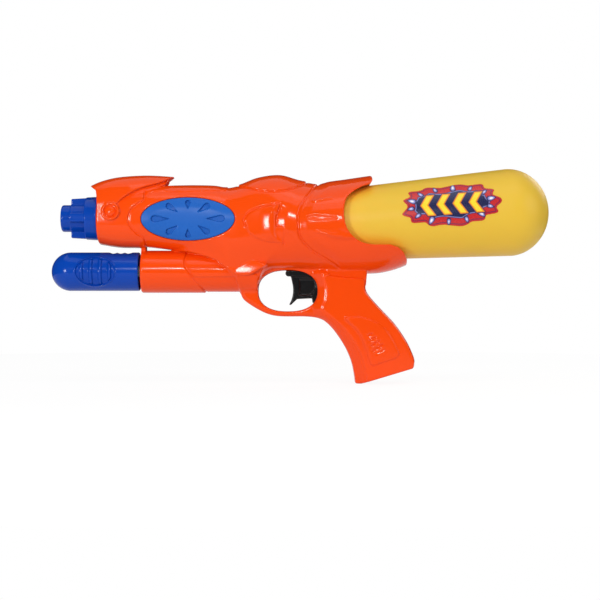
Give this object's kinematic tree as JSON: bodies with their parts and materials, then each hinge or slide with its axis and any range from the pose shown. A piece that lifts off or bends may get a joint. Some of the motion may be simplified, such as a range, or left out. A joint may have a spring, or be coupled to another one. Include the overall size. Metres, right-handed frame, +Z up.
{
  "type": "water squirter",
  "caption": "Pump-up toy water gun with a moulded two-half housing, sliding pump handle, sprung trigger, turning nozzle cap and screw-in bottle tank.",
  "frame": {"origin": "under the middle of the length, level with the lowest point of the grip, on the plane where the housing halves meet", "axes": "+X from the muzzle to the tank, +Y to the user's right, +Z up"},
  "size_m": [0.3968, 0.0726, 0.1713],
  "materials": {
    "orange_plastic": "glossy moulded",
    "blue_plastic": "glossy moulded",
    "yellow_plastic": "satin blow-moulded",
    "black_plastic": "glossy moulded",
    "white_plastic": "natural moulded",
    "hose": "flexible tubing",
    "rubber": "moulded",
    "steel": "plain"
  },
  "bodies": {
    "housing": {"left_housing": "orange_plastic", "right_housing": "orange_plastic", "left_oval_panel": "blue_plastic", "right_oval_panel": "blue_plastic", "nozzle_spigot": "white_plastic", "nozzle_seal": "rubber", "pump_cylinder": "white_plastic", "pump_gland": "white_plastic", "cylinder_end_cap": "white_plastic", "check_valve": "rubber", "trigger_pin": "steel", "trigger_spring": "steel", "water_hose": "hose", "air_hose": "hose", "housing_screw_1": "steel", "housing_screw_2": "steel", "housing_screw_3": "steel", "housing_screw_4": "steel", "housing_screw_5": "steel", "housing_screw_6": "steel", "housing_screw_7": "steel", "tank_connector": "white_plastic", "dip_tube": "hose"},
    "pump": {"pump_handle": "blue_plastic", "pump_rod": "white_plastic", "pump_piston": "white_plastic", "piston_seal": "rubber"},
    "trigger": {"trigger": "black_plastic"},
    "nozzle": {"nozzle_cap": "blue_plastic"},
    "tank_seat": {"tank_washer": "rubber"},
    "tank": {"tank": "yellow_plastic"}
  },
  "joints": [
    {"name": "pump_slide", "type": "slide", "parent": "housing", "child": "pump", "axis": [-1, 0, 0], "range_m": [0, 0.058]},
    {"name": "trigger_pull", "type": "hinge", "parent": "housing", "child": "trigger", "pos_m": [-0.009, 0, 0.097], "axis": [0, -1, 0], "range_deg": [0, 12], "stiffness_Nm_per_rad": 0.3, "springref_deg": -8.59, "deforming": ["trigger_spring"]},
    {"name": "nozzle_turn", "type": "hinge", "parent": "housing", "child": "nozzle", "pos_m": [-0.1616, 0, 0.1317], "axis": [-1, 0, 0], "range_deg": [0, 180]},
    {"name": "tank_draw", "type": "slide", "parent": "housing", "child": "tank_seat", "axis": [0.9973, 0, 0.0732], "range_m": [0, 0.0071]},
    {"name": "tank_unscrew", "type": "hinge", "parent": "tank_seat", "child": "tank", "pos_m": [0.0012, 0, 0.12442], "axis": [0.9973, 0, 0.0732], "range_deg": [0, 720]}
  ],
  "couplings": [
    {"joint": "tank_draw", "follows": "tank_unscrew", "m_per_rad": 0.000557}
  ]
}
